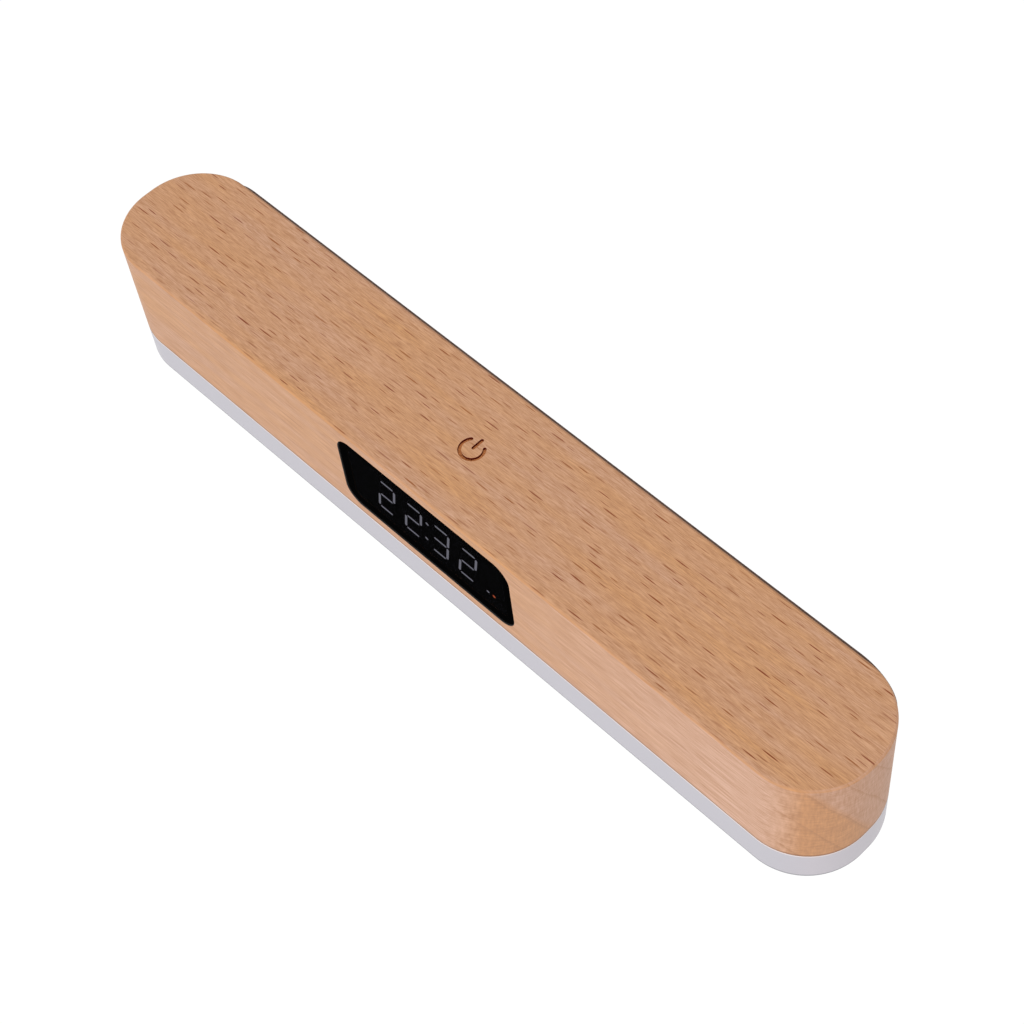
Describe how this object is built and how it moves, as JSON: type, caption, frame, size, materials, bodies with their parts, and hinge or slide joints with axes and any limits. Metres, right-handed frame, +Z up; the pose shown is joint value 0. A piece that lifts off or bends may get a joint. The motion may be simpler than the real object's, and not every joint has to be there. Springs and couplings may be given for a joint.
{
  "type": "wall clock lamp",
  "caption": "Rounded beech bar with a seven-segment clock window, a touch sign on top and a milky light bar below, held by magnets on a taped steel wall plate.",
  "frame": {"origin": "centre of the mounting tape's back face, on the wall, at half the height of the wooden body", "axes": "+X along the bar, to the right seen from the front; +Y back into the wall; +Z up"},
  "size_m": [0.2, 0.0318, 0.035],
  "materials": {
    "beech": "sanded beech under a thin matt oil",
    "milky_acrylic": "milky acrylic, satin",
    "smoked_acrylic": "polished smoked acrylic",
    "white_abs": "moulded white plastic",
    "black_abs": "moulded black plastic, fine texture",
    "grey_abs": "moulded grey plastic",
    "segment_epoxy": "cast milky epoxy",
    "status_epoxy": "cast tinted epoxy",
    "fibreglass_board": "green solder mask over fibreglass",
    "aluminium_board": "white mask over aluminium",
    "emitter_phosphor": "phosphor in a white frame",
    "zinc_steel": "zinc plated steel",
    "gold_plate": "gold plated pins",
    "chip_epoxy": "moulded chip packages",
    "copper": "bare copper",
    "battery_sleeve": "shrink sleeve over a metal can",
    "black_foam": "closed-cell foam",
    "red_insulation": "soft lead insulation",
    "nickel_steel": "bright nickel plated steel",
    "magnet_nickel": "nickel plated magnets",
    "plate_steel": "dark brown painted steel",
    "tape_foam": "foam mounting tape"
  },
  "bodies": {
    "wall_mount": {"wall_plate": "plate_steel", "mounting_tape": "tape_foam"},
    "lamp": {"wooden_body": "beech", "diffuser": "milky_acrylic", "chassis": "white_abs", "chassis_screws": "zinc_steel", "strip_board": "aluminium_board", "strip_emitters": "emitter_phosphor", "strip_screws": "zinc_steel", "display_lens": "smoked_acrylic", "digit_block": "black_abs", "digit_segments": "segment_epoxy", "status_lights": "status_epoxy", "clock_board": "fibreglass_board", "segment_emitters": "emitter_phosphor", "clock_screws": "zinc_steel", "header_pins": "gold_plate", "main_board": "fibreglass_board", "board_chips": "chip_epoxy", "board_screws": "zinc_steel", "touch_pad": "copper", "touch_spring": "gold_plate", "battery_cell": "battery_sleeve", "battery_foam": "black_foam", "battery_leads": "red_insulation", "strip_leads": "red_insulation", "service_panel": "black_abs", "usb_shell": "nickel_steel", "usb_tongue": "black_abs", "switch_bodies": "black_abs", "magnets": "magnet_nickel"},
    "set_key": {"set_button": "grey_abs", "set_plunger": "white_abs"},
    "plus_key": {"plus_button": "grey_abs", "plus_plunger": "white_abs"},
    "minus_key": {"minus_button": "grey_abs", "minus_plunger": "white_abs"}
  },
  "joints": [
    {"name": "lamp_pull_off", "type": "slide", "parent": "wall_mount", "child": "lamp", "axis": [0, -1, 0], "range_m": [0, 0.06]},
    {"name": "set_press", "type": "slide", "parent": "lamp", "child": "set_key", "axis": [0, -1, 0], "range_m": [0, 0.0005], "stiffness_N_per_m": 400},
    {"name": "plus_press", "type": "slide", "parent": "lamp", "child": "plus_key", "axis": [0, -1, 0], "range_m": [0, 0.0005], "stiffness_N_per_m": 400},
    {"name": "minus_press", "type": "slide", "parent": "lamp", "child": "minus_key", "axis": [0, -1, 0], "range_m": [0, 0.0005], "stiffness_N_per_m": 400}
  ]
}
